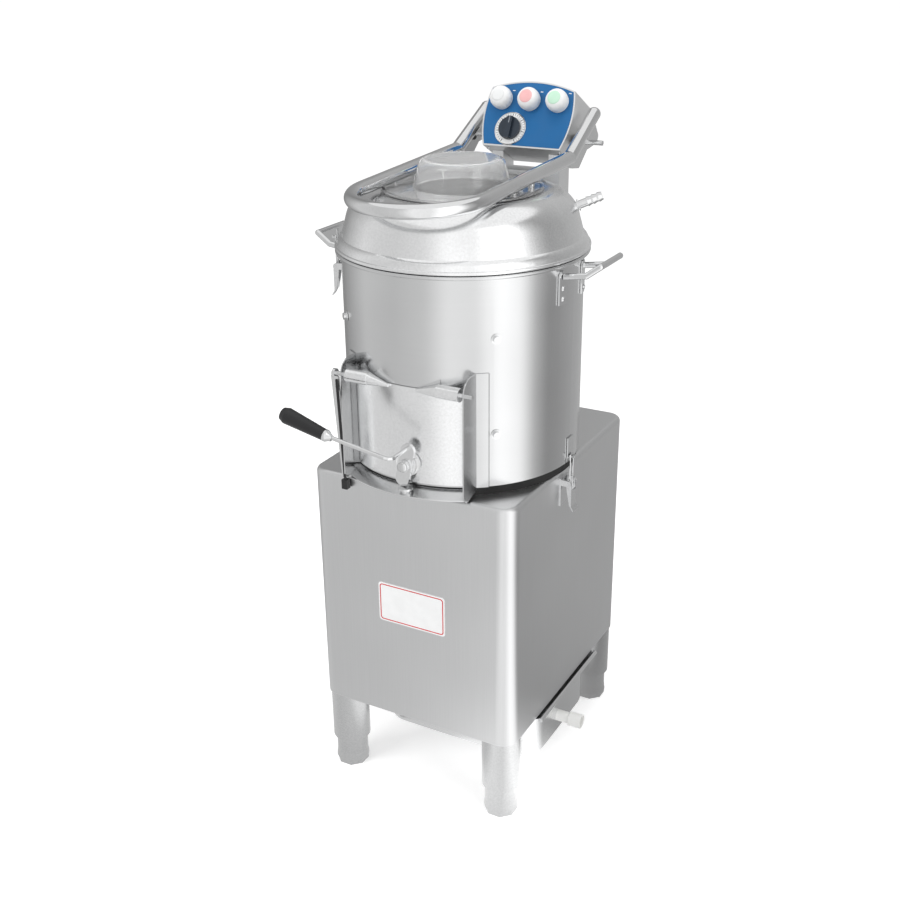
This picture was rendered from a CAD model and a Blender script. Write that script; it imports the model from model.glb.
"""Looks of the electric potato peeler: materials, fine pieces, studio and camera.

All places are in millimetres in the machine's own frame, where X is to the right, Y to the back and
Z up from the floor; mm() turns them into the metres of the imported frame.
"""
import math

import bmesh
import bpy
from mathutils import Matrix, Vector


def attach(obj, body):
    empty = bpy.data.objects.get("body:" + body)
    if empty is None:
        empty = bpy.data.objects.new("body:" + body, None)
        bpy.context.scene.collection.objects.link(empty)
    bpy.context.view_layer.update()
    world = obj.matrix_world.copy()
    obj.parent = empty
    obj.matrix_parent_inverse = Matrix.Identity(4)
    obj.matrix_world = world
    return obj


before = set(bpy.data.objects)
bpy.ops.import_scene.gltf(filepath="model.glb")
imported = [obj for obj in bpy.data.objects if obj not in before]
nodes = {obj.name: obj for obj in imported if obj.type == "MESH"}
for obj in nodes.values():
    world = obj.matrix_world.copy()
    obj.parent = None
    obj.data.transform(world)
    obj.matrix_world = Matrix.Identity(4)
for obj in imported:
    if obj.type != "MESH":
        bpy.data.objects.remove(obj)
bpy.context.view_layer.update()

# ---------------------------------------------------------------- places

# How far the cabinet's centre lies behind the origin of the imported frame
MACHINE_Y = 19.25
# Lower edge of the control panel and its tilt to the back
PANEL_Y, PANEL_Z = 165, 1041.3
PANEL_TILT = math.radians(28)


def mm(x, y, z):
    """A place measured from the cabinet's centre line, in metres of the frame."""
    return Vector((x / 1000, (y + MACHINE_Y) / 1000, z / 1000))


# ---------------------------------------------------------------- node materials

def new_material(name):
    material = bpy.data.materials.new(name)
    material.use_nodes = True
    return material, material.node_tree, material.node_tree.nodes["Principled BSDF"]


def add_node(tree, kind, **values):
    node = tree.nodes.new(kind)
    for key, value in values.items():
        setattr(node, key, value)
    return node


def noise(tree, scale, detail=3.0, stretch=(1, 1, 1)):
    """Noise in object coordinates, with a scale in cycles per metre; returns its value socket."""
    coords = add_node(tree, "ShaderNodeTexCoord")
    mapping = add_node(tree, "ShaderNodeMapping")
    mapping.inputs["Scale"].default_value = stretch
    texture = add_node(tree, "ShaderNodeTexNoise")
    texture.inputs["Scale"].default_value = scale
    texture.inputs["Detail"].default_value = detail
    tree.links.new(coords.outputs["Object"], mapping.inputs["Vector"])
    tree.links.new(mapping.outputs["Vector"], texture.inputs["Vector"])
    return texture.outputs["Fac"]


def map_range(tree, value, low, high, to_low, to_high, kind="SMOOTHSTEP"):
    node = add_node(tree, "ShaderNodeMapRange", interpolation_type=kind)
    tree.links.new(value, node.inputs["Value"])
    for key, number in (("From Min", low), ("From Max", high), ("To Min", to_low), ("To Max", to_high)):
        node.inputs[key].default_value = number
    return node.outputs["Result"]


def mix_colors(tree, factor, first, second):
    node = add_node(tree, "ShaderNodeMix", data_type="RGBA")
    for socket, value in ((0, factor), (6, first), (7, second)):
        if isinstance(value, bpy.types.NodeSocket):
            tree.links.new(value, node.inputs[socket])
        else:
            node.inputs[socket].default_value = value
    return node.outputs[2]


def bump(tree, shader, height, strength, distance):
    node = add_node(tree, "ShaderNodeBump")
    node.inputs["Strength"].default_value = strength
    node.inputs["Distance"].default_value = distance
    tree.links.new(height, node.inputs["Height"])
    tree.links.new(node.outputs["Normal"], shader.inputs["Normal"])


def full_range(tree, value):
    """Noise spread over the whole range from 0 to 1."""
    return map_range(tree, value, 0.3, 0.7, 0, 1)


def grey(level, tint=(1.0, 1.0, 1.0)):
    return tuple(level * t for t in tint) + (1.0,)


STEEL_TINT = (0.99, 0.995, 1.0)


def steel(name, level, roughness, grain, clouds=8.0, contrast=0.03):
    """Satin stainless steel of a grey level, with fine brushing and soft large blotches.

    grain holds the brushing's stretch along X, Y and Z, contrast is its share of the level, and clouds is the
    blotches' scale in cycles per metre.
    """
    material, tree, shader = new_material(name)
    shader.inputs["Metallic"].default_value = 1.0
    brushing = noise(tree, 1.0, 4.0, grain)
    blotches = noise(tree, clouds, 2.0)
    darker, lighter = (grey(level * factor, STEEL_TINT) for factor in (1 - contrast, 1 + contrast))
    fine = mix_colors(tree, full_range(tree, brushing), darker, lighter)
    cloudy = mix_colors(tree, full_range(tree, blotches), grey(0.94), grey(1.0))
    product = add_node(tree, "ShaderNodeMix", data_type="RGBA", blend_type="MULTIPLY")
    product.inputs[0].default_value = 1.0
    tree.links.new(fine, product.inputs[6])
    tree.links.new(cloudy, product.inputs[7])
    tree.links.new(product.outputs[2], shader.inputs["Base Color"])
    spread = map_range(tree, blotches, 0.25, 0.75, roughness * 0.88, roughness * 1.12)
    tree.links.new(spread, shader.inputs["Roughness"])
    bump(tree, shader, brushing, 4 * contrast, 0.00001)
    return material


def plastic(name, color, roughness, wear=0.1, grain=900.0):
    """Moulded plastic or rubber with a fine grain and slight unevenness of colour."""
    material, tree, shader = new_material(name)
    pebble = noise(tree, grain, 2.0)
    patches = noise(tree, 45.0, 3.0)
    darker = tuple(c * (1 - wear) for c in color) + (1.0,)
    uneven = mix_colors(tree, full_range(tree, patches), darker, tuple(color) + (1.0,))
    tree.links.new(uneven, shader.inputs["Base Color"])
    spread = map_range(tree, patches, 0.3, 0.7, roughness * 0.85, roughness * 1.15)
    tree.links.new(spread, shader.inputs["Roughness"])
    bump(tree, shader, pebble, 0.15, 0.00005)
    return material


def clear_plastic():
    """Slightly scuffed clear plastic."""
    material, tree, shader = new_material("clear_lid")
    shader.inputs["Transmission Weight"].default_value = 0.82
    shader.inputs["IOR"].default_value = 1.49
    shader.inputs["Base Color"].default_value = (0.98, 0.983, 0.985, 1)
    scuffs = noise(tree, 60.0, 4.0)
    tree.links.new(map_range(tree, scuffs, 0.35, 0.7, 0.02, 0.10), shader.inputs["Roughness"])
    return material


def abrasive():
    """Pale grey grit bonded to metal."""
    material, tree, shader = new_material("abrasive_grit")
    grit = noise(tree, 700.0, 5.0)
    grains = map_range(tree, grit, 0.35, 0.65, 0, 1)
    tree.links.new(mix_colors(tree, grains, grey(0.42), grey(0.78)), shader.inputs["Base Color"])
    shader.inputs["Roughness"].default_value = 0.85
    bump(tree, shader, grit, 0.9, 0.0008)
    return material


# Cycles per metre of a steel's fine noise along X, Y and Z
VERTICAL = (500, 500, 8)
AROUND = (8, 8, 500)
ALONG_X = (8, 500, 500)
EVEN = (300, 300, 300)

MATERIALS = {
    "cabinet": steel("cabinet_steel", 0.75, 0.32, VERTICAL, 3.0, 0.012),
    "drum": steel("drum_steel", 0.72, 0.20, AROUND, 6.0, 0.006),
    "door": steel("door_steel", 0.94, 0.24, EVEN),
    "dome": steel("dome_steel", 0.94, 0.19, EVEN, 14.0),
    "tube": steel("tube_steel", 0.80, 0.08, EVEN, 8.0, 0.015),
    "leg": steel("leg_steel", 0.67, 0.18, EVEN),
    "head": steel("head_steel", 0.91, 0.32, ALONG_X, 8.0, 0.02),
    "small": steel("fitting_steel", 0.74, 0.14, EVEN, 40.0),
    "tray": steel("tray_steel", 0.86, 0.24, ALONG_X),
    "galvanised": steel("galvanised_steel", 0.42, 0.5, EVEN),
    "cast": plastic("cast_iron", (0.10, 0.10, 0.105), 0.6),
    "motor": plastic("motor_paint", (0.10, 0.12, 0.15), 0.45),
    "blue": plastic("panel_blue", (0.008, 0.125, 0.335), 0.55, 0.04),
    "white": plastic("white_plastic", (0.86, 0.865, 0.865), 0.4, 0.04),
    "red_cap": plastic("red_cap", (0.85, 0.47, 0.47), 0.35, 0.05),
    "green_cap": plastic("green_cap", (0.55, 0.80, 0.63), 0.35, 0.05),
    "pale_cap": plastic("pale_cap", (0.78, 0.79, 0.79), 0.35, 0.05),
    "knob": plastic("knob_slate", (0.020, 0.030, 0.045), 0.34),
    "mark": plastic("knob_mark", (0.25, 0.27, 0.30), 0.4),
    "black": plastic("black_plastic", (0.012, 0.012, 0.013), 0.38),
    "red_ink": plastic("red_ink", (0.62, 0.02, 0.03), 0.5, 0.05),
    "dark_ink": plastic("dark_ink", (0.04, 0.05, 0.07), 0.5, 0.05),
    "rubber": plastic("black_rubber", (0.010, 0.010, 0.010), 0.6),
    "clear": clear_plastic(),
    "grit": abrasive(),
    "cream": plastic("spout_plastic", (0.97, 0.97, 0.95), 0.45, 0.04),
}

FINISHES = {
    "cabinet": ["cabinet_housing", "rear_cover"],
    "drum": ["drum_shell", "drum_floor", "chute"],
    "door": ["door_panel"],
    "dome": ["dome_cover"],
    "tube": ["lid_frame", "side_handles", "lever_arm", "magnet_arm"],
    "leg": ["legs", "feet"],
    "head": ["control_head", "column"],
    "small": [
        "drum_fasteners", "cover_screws", "lid_axle", "door_pins", "water_inlet", "main_shaft",
        "main_bearings", "latch_fixings", "dome_latch_left_lever", "dome_latch_left_bail",
        "dome_latch_rear_lever", "dome_latch_rear_bail", "base_latch_left_lever", "base_latch_left_bail",
        "base_latch_right_lever", "base_latch_right_bail",
    ],
    "tray": ["filter_pan", "filter_basket", "waste_duct"],
    "galvanised": ["base_frame"],
    "cast": ["driven_pulley", "motor_pulley", "bearing_housing"],
    "motor": ["motor_body"],
    "blue": ["control_panel"],
    "white": ["name_plate", "timer_dial", "button_collars", "white_button"],
    "red_cap": ["red_button"],
    "green_cap": ["green_button"],
    "knob": ["timer_knob"],
    "black": ["lever_grip", "hinge_bushes", "door_magnet", "cable_gland", "switchgear"],
    "rubber": ["rubber_seals", "lid_seal", "drive_belt"],
    "clear": ["lid_shell"],
    "grit": ["abrasive_liner", "peeling_disc"],
    "cream": ["drain_spout"],
}


def finish_cad_nodes():
    """Give each CAD node its material."""
    for key, names in FINISHES.items():
        for name in names:
            mesh = nodes[name].data
            mesh.materials.clear()
            mesh.materials.append(MATERIALS[key])


finish_cad_nodes()

# ---------------------------------------------------------------- building pieces

def axes_at(place, x_axis, y_axis, z_axis):
    """A drawing frame in millimetres, with its origin at a place in metres."""
    matrix = Matrix((x_axis, y_axis, z_axis)).transposed().to_4x4() @ Matrix.Scale(0.001, 4)
    matrix.translation = place
    return matrix


def panel_axes(x, up):
    """Frame on the control panel: X to the right, Y up along the panel and Z out of it."""
    along = Vector((0, math.sin(PANEL_TILT), math.cos(PANEL_TILT)))
    out = Vector((0, -math.cos(PANEL_TILT), math.sin(PANEL_TILT)))
    return axes_at(mm(x, PANEL_Y, PANEL_Z) + along * up / 1000, Vector((1, 0, 0)), along, out)


def front_axes(x, y, z):
    """Frame on a face that looks to the front: X to the right, Y up and Z towards the front."""
    return axes_at(mm(x, y, z), Vector((1, 0, 0)), Vector((0, 0, 1)), Vector((0, -1, 0)))


def lathe(bm, profile, matrix, segments=48):
    """Surface of revolution about the frame's Z axis; the profile holds radius and height."""
    rings = []
    for radius, height in profile:
        if radius == 0:
            rings.append([bm.verts.new(matrix @ Vector((0, 0, height)))])
            continue
        turns = [2 * math.pi * i / segments for i in range(segments)]
        places = [Vector((radius * math.cos(turn), radius * math.sin(turn), height)) for turn in turns]
        rings.append([bm.verts.new(matrix @ place) for place in places])
    for low, high in zip(rings, rings[1:]):
        for i in range(segments):
            j = i + 1
            corners = [low[i % len(low)], low[j % len(low)], high[j % len(high)], high[i % len(high)]]
            bm.faces.new(list(dict.fromkeys(corners)))


def slab(bm, outline, matrix, low, high):
    """Closed plate with an outline in the frame's XY plane, from one height to another."""
    bottom = [bm.verts.new(matrix @ Vector((x, y, low))) for x, y in outline]
    top = [bm.verts.new(matrix @ Vector((x, y, high))) for x, y in outline]
    bm.faces.new(bottom[::-1])
    bm.faces.new(top)
    for i in range(len(outline)):
        j = (i + 1) % len(outline)
        bm.faces.new((bottom[i], bottom[j], top[j], top[i]))


def frame_strip(bm, outer, inner, matrix, low, high):
    """Closed strip between two outlines with the same number of points."""
    loops = []
    for outline, height in ((outer, low), (outer, high), (inner, high), (inner, low)):
        loops.append([bm.verts.new(matrix @ Vector((x, y, height))) for x, y in outline])
    for near, far in zip(loops, loops[1:] + loops[:1]):
        for i in range(len(outer)):
            j = (i + 1) % len(outer)
            bm.faces.new((near[i], near[j], far[j], far[i]))


def round_rect(width, height, radius, steps=8):
    """Outline of a rectangle with round corners, about its middle."""
    points = []
    for corner, (sx, sy) in enumerate(((1, 1), (-1, 1), (-1, -1), (1, -1))):
        for i in range(steps + 1):
            turn = math.radians(90 * (corner + i / steps))
            points.append((sx * (width / 2 - radius) + radius * math.cos(turn),
                           sy * (height / 2 - radius) + radius * math.sin(turn)))
    return points


def add_piece(name, bm, finish, body, sharp=40):
    """Make an object that rides on a body; edges sharper than an angle stay sharp."""
    mesh = bpy.data.meshes.new(name)
    bmesh.ops.recalc_face_normals(bm, faces=bm.faces)
    bm.to_mesh(mesh)
    bm.free()
    mesh.polygons.foreach_set("use_smooth", [True] * len(mesh.polygons))
    mesh.set_sharp_from_angle(angle=math.radians(sharp))
    mesh.materials.append(MATERIALS[finish])
    piece = bpy.data.objects.new(name, mesh)
    bpy.context.scene.collection.objects.link(piece)
    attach(piece, body)


# ---------------------------------------------------------------- control panel

# Places of the buttons and the knob on the panel, and how far the dial stands out of it
BUTTON_PITCH, BUTTON_UP = 51, 80
KNOB_X, KNOB_UP, DIAL_T = -25.7, 30.5, 0.8
# Name of each button and the finish of its cap, from left to right
BUTTONS = (("white", "pale_cap"), ("red", "red_cap"), ("green", "green_cap"))
# Radius and height above the panel of a button's soft boot, from inside its cup to its crown, and of its cap
BOOT = [(12.3, 14.7), (15.4, 14.6), (17.8, 12.0), (17.8, 5.3), (18.2, 5.0), (18.5, 5.6), (18.6, 9.0),
        (18.3, 13.0), (17.3, 16.8), (15.4, 19.8), (12.8, 21.9), (10.4, 22.9), (8.5, 23.1), (0, 23.2)]
CAP = [(11.2, 22.6), (10.9, 23.2), (9.0, 23.6), (4.5, 23.8), (0, 23.85)]
# Radius and height of the dial's bright rim
DIAL_RIM = [(26.4, DIAL_T), (26.6, 1.6), (27.4, 2.0), (28.2, 1.5), (28.4, 0.1)]
# Dial ticks: number, degrees of the first and between two, outer radius and thickness
TICKS, FIRST_TICK, TICK_STEP, TICK_OUTER, TICK_T = 31, 240, 10, 25.6, 0.12
# Inner radius and half width of a long and a short tick
LONG_TICK, SHORT_TICK = (21.0, 0.55), (23.0, 0.3)
# Height of the knob's face above the panel
KNOB_FACE = 12.0
# Place of the mark beside a button, from the button's middle
MARK_X, MARK_UP = 17, 16


def build_buttons():
    """Soft boot and coloured cap of each push-button."""
    for i, (name, cap) in enumerate(BUTTONS):
        place = panel_axes((i - 1) * BUTTON_PITCH, BUTTON_UP)
        boot, top = bmesh.new(), bmesh.new()
        lathe(boot, BOOT, place)
        lathe(top, CAP, place)
        add_piece(name + "_boot", boot, "white", name + "_button", 180)
        add_piece(name + "_cap", top, cap, name + "_button", 180)


def build_dial():
    """Ticks and rim of the timer's dial, the knob's mark, and a mark beside each button."""
    place = panel_axes(KNOB_X, KNOB_UP)
    ticks = bmesh.new()
    for i in range(TICKS):
        turn = place @ Matrix.Rotation(math.radians(FIRST_TICK - TICK_STEP * i), 4, "Z")
        inner, half = LONG_TICK if i % 5 == 0 else SHORT_TICK
        outline = [(inner, -half), (TICK_OUTER, -half), (TICK_OUTER, half), (inner, half)]
        slab(ticks, outline, turn, DIAL_T, DIAL_T + TICK_T)
    add_piece("dial_ticks", ticks, "dark_ink", "machine")
    rim = bmesh.new()
    lathe(rim, DIAL_RIM, place, 64)
    add_piece("dial_rim", rim, "tube", "machine")
    mark = bmesh.new()
    slab(mark, [(-0.8, 6.5), (0.8, 6.5), (0.8, 17.5), (-0.8, 17.5)], place, KNOB_FACE, KNOB_FACE + 0.2)
    add_piece("knob_mark", mark, "mark", "timer_knob")
    marks = bmesh.new()
    for i in (-1, 0, 1):
        spot = panel_axes(i * BUTTON_PITCH + MARK_X, BUTTON_UP + MARK_UP)
        slab(marks, round_rect(5, 1.4, 0.7), spot, 0, 0.12)
    add_piece("panel_marks", marks, "white", "machine")


# ---------------------------------------------------------------- cabinet, door and lever

# Middle of the label plate's face
PLATE = (2.5, -228, 365.5)
# X and Z of the latch lever's pivot, and the fronts of the door and of the pivot's nut there
PIVOT_X, PIVOT_Z = 9.5, 629
DOOR_FRONT_Y = -230.4
NUT_FRONT_Y = -254.3
# Where the rod enters the grip, and the grip's lean to the left
GRIP_END = (-87, -310, 682)
GRIP_TURN = math.radians(74.4)
# Front of the magnet's arm, and the outline of the black strip on it
ARM_FRONT_Y = -232.6
STRIP = [(-119.5, 742), (-116, 742), (-109.5, 578), (-113, 578)]
# Radius and height of the washer and the nut's cap on the pivot and of the grip's ferrule
WASHER = [(17.2, 1.6), (19.2, 1.8), (19.8, 4), (19.8, 8), (19.0, 10.4), (17.2, 10.8)]
NUT_CAP = [(8.6, 0), (8.6, 1.2), (7.6, 3.0), (5.0, 4.4), (0, 5.0)]
FERRULE = [(3.3, -9), (5.2, -8.4), (6.2, -5), (8.4, -1.6), (9.4, 0), (9.7, 3), (9.45, 4)]


def build_label_border():
    """Thin printed border of the bare label plate."""
    border = bmesh.new()
    outer, inner = round_rect(118, 66, 5), round_rect(114.6, 62.6, 3.6)
    frame_strip(border, outer, inner, front_axes(*PLATE), 0, 0.15)
    add_piece("label_border", border, "red_ink", "machine")


def build_latch_details():
    """Washer and nut cap of the latch's pivot, ferrule of its grip, and strip on the magnet's arm."""
    washer = bmesh.new()
    lathe(washer, WASHER, front_axes(PIVOT_X, DOOR_FRONT_Y, PIVOT_Z))
    add_piece("pivot_washer", washer, "white", "door")
    nut = bmesh.new()
    lathe(nut, NUT_CAP, front_axes(PIVOT_X, NUT_FRONT_Y, PIVOT_Z))
    add_piece("pivot_nut_cap", nut, "small", "door")
    ferrule = bmesh.new()
    out = Vector((-math.sin(GRIP_TURN), 0, math.cos(GRIP_TURN)))
    across = Vector((0, 1, 0))
    lathe(ferrule, FERRULE, axes_at(mm(*GRIP_END), across.cross(out), across, out), 32)
    add_piece("grip_ferrule", ferrule, "tube", "latch_lever")
    strip = bmesh.new()
    slab(strip, STRIP, front_axes(0, ARM_FRONT_Y, 0), 0, 1.4)
    add_piece("magnet_strip", strip, "black", "door")


build_buttons()
build_dial()
build_label_border()
build_latch_details()

# ---------------------------------------------------------------- studio

# Azimuth of the glowing cards seen in the steel, in degrees from the front to the right, and their strength
GLOW = [(-180, 0.50), (-150, 0.36), (-118, 0.28), (-92, 0.50), (-70, 0.72), (-35, 0.66), (-5, 0.74),
        (14, 1.08), (38, 1.00), (60, 1.50), (80, 1.30), (95, 0.58), (110, 0.33), (150, 0.45), (180, 0.50)]
# Strength of the world on matt surfaces, in the background and in reflections
AMBIENT, SHOWN, REFLECTED = 0.62, 1.05, 0.95
# Glow that the camera sees added to the floor, so that it is white
FLOOR_LIFT = 0.42
# Radius, foot and top of the round wall of cards
WALL_R, WALL_FOOT, WALL_TOP = 1500, 2, 2600
# Name, place, target, width and height in metres, and power of each lamp
LAMPS = [
    ("key", (-1.6, -2.6, 2.6), (0, 0, 0.7), (1.6, 1.6), 45),
    ("fill", (2.8, -1.2, 1.8), (0, 0, 0.6), (1.2, 2.0), 22),
    ("top", (0.2, 0.2, 3.2), (0, 0, 0.8), (2.0, 2.0), 25),
]


def glow(tree):
    """Emission that depends on the azimuth about the machine."""
    coords = add_node(tree, "ShaderNodeTexCoord")
    axes = add_node(tree, "ShaderNodeSeparateXYZ")
    minus_y = add_node(tree, "ShaderNodeMath", operation="MULTIPLY")
    minus_y.inputs[1].default_value = -1
    azimuth = add_node(tree, "ShaderNodeMath", operation="ARCTAN2")
    tree.links.new(coords.outputs["Object"], axes.inputs[0])
    tree.links.new(axes.outputs["Y"], minus_y.inputs[0])
    tree.links.new(axes.outputs["X"], azimuth.inputs[0])
    tree.links.new(minus_y.outputs[0], azimuth.inputs[1])
    ramp = add_node(tree, "ShaderNodeValToRGB")
    share = map_range(tree, azimuth.outputs[0], -math.pi, math.pi, 0, 1, "LINEAR")
    tree.links.new(share, ramp.inputs["Fac"])
    stops = ramp.color_ramp.elements
    while len(stops) < len(GLOW):
        stops.new(0.5)
    for stop, (angle, strength) in zip(stops, GLOW):
        stop.position = (angle + 180) / 360
        stop.color = (strength, strength, strength, 1)
    emission = add_node(tree, "ShaderNodeEmission")
    tree.links.new(ramp.outputs["Color"], emission.inputs["Color"])
    return emission


def choose(tree, ray_kinds, otherwise, chosen):
    """chosen for the named kinds of ray, otherwise for the rest."""
    path = add_node(tree, "ShaderNodeLightPath")
    factor = path.outputs[ray_kinds[0]]
    for kind in ray_kinds[1:]:
        either = add_node(tree, "ShaderNodeMath", operation="MAXIMUM")
        tree.links.new(factor, either.inputs[0])
        tree.links.new(path.outputs[kind], either.inputs[1])
        factor = either.outputs[0]
    mix = add_node(tree, "ShaderNodeMixShader")
    tree.links.new(factor, mix.inputs[0])
    tree.links.new(otherwise.outputs[0], mix.inputs[1])
    tree.links.new(chosen.outputs[0], mix.inputs[2])
    return mix


def build_world():
    """White surroundings."""
    world = bpy.data.worlds.new("studio")
    world.use_nodes = True
    tree = world.node_tree
    plain = tree.nodes["Background"]
    shown, reflected = add_node(tree, "ShaderNodeBackground"), add_node(tree, "ShaderNodeBackground")
    for background, strength in ((plain, AMBIENT), (shown, SHOWN), (reflected, REFLECTED)):
        background.inputs["Color"].default_value = (1, 1, 1, 1)
        background.inputs["Strength"].default_value = strength
    mixed = choose(tree, ["Is Camera Ray", "Is Transmission Ray"], plain, shown)
    mixed = choose(tree, ["Is Glossy Ray"], mixed, reflected)
    tree.links.new(mixed.outputs[0], tree.nodes["World Output"].inputs["Surface"])
    bpy.context.scene.world = world


def build_floor():
    """Pale floor that keeps the shadow and reflects as the cards do."""
    bpy.ops.mesh.primitive_plane_add(size=60)
    floor = bpy.context.object
    floor.name = "floor"
    material, tree, shader = new_material("studio_floor")
    shader.inputs["Base Color"].default_value = (0.95, 0.95, 0.95, 1)
    shader.inputs["Roughness"].default_value = 0.9
    lift = add_node(tree, "ShaderNodeEmission")
    lift.inputs["Strength"].default_value = FLOOR_LIFT
    both = add_node(tree, "ShaderNodeAddShader")
    tree.links.new(shader.outputs[0], both.inputs[0])
    tree.links.new(lift.outputs[0], both.inputs[1])
    mixed = choose(tree, ["Is Camera Ray", "Is Transmission Ray"], shader, both)
    mixed = choose(tree, ["Is Glossy Ray"], mixed, glow(tree))
    tree.links.new(mixed.outputs[0], tree.nodes["Material Output"].inputs["Surface"])
    floor.data.materials.append(material)


def build_glow_wall():
    """Round wall of soft cards that only reflections see."""
    bm = bmesh.new()
    lathe(bm, [(WALL_R, WALL_FOOT), (WALL_R, WALL_TOP)], Matrix.Scale(0.001, 4), 96)
    mesh = bpy.data.meshes.new("glow_wall")
    bm.to_mesh(mesh)
    bm.free()
    material, tree, _ = new_material("glow_cards")
    tree.links.new(glow(tree).outputs[0], tree.nodes["Material Output"].inputs["Surface"])
    mesh.materials.append(material)
    wall = bpy.data.objects.new("glow_wall", mesh)
    bpy.context.scene.collection.objects.link(wall)
    wall.visible_camera = wall.visible_diffuse = wall.visible_transmission = False
    wall.visible_shadow = wall.visible_volume_scatter = False


def area_light(name, place, target, size, power):
    """Soft lamp that reflections don't show."""
    data = bpy.data.lights.new(name, "AREA")
    data.shape = "RECTANGLE"
    data.size, data.size_y = size
    data.energy = power
    lamp = bpy.data.objects.new(name, data)
    bpy.context.scene.collection.objects.link(lamp)
    lamp.location = place
    lamp.visible_glossy = False
    lamp.rotation_euler = (Vector(target) - Vector(place)).to_track_quat("-Z", "Y").to_euler()


build_world()
build_floor()
build_glow_wall()
for lamp_row in LAMPS:
    area_light(*lamp_row)

# ---------------------------------------------------------------- camera

# Place and angles solved from the photograph
CAMERA_PLACE = mm(893.492, -1693.961, 1380.854)
CAMERA_YAW = math.radians(29.0939)
CAMERA_PITCH = math.radians(23.2397)
CAMERA_ROLL = math.radians(-0.728)
# Focal length in pixels of a frame this wide
FOCAL_PIXELS, FRAME_PIXELS = 1220.84, 900


def build_camera():
    """Camera at the photographed angle."""
    data = bpy.data.cameras.new("camera")
    data.sensor_width = 36
    data.lens = FOCAL_PIXELS / FRAME_PIXELS * data.sensor_width
    camera = bpy.data.objects.new("camera", data)
    bpy.context.scene.collection.objects.link(camera)
    level = math.cos(CAMERA_PITCH)
    forward = Vector((-math.sin(CAMERA_YAW) * level, math.cos(CAMERA_YAW) * level, -math.sin(CAMERA_PITCH)))
    right = Vector((math.cos(CAMERA_YAW), math.sin(CAMERA_YAW), 0))
    up = right.cross(forward)
    turned_right = right * math.cos(CAMERA_ROLL) + up * math.sin(CAMERA_ROLL)
    turned_up = up * math.cos(CAMERA_ROLL) - right * math.sin(CAMERA_ROLL)
    matrix = Matrix((turned_right, turned_up, -forward)).transposed().to_4x4()
    matrix.translation = CAMERA_PLACE
    camera.matrix_world = matrix
    bpy.context.scene.camera = camera
    bpy.context.scene.view_settings.view_transform = "Standard"


build_camera()
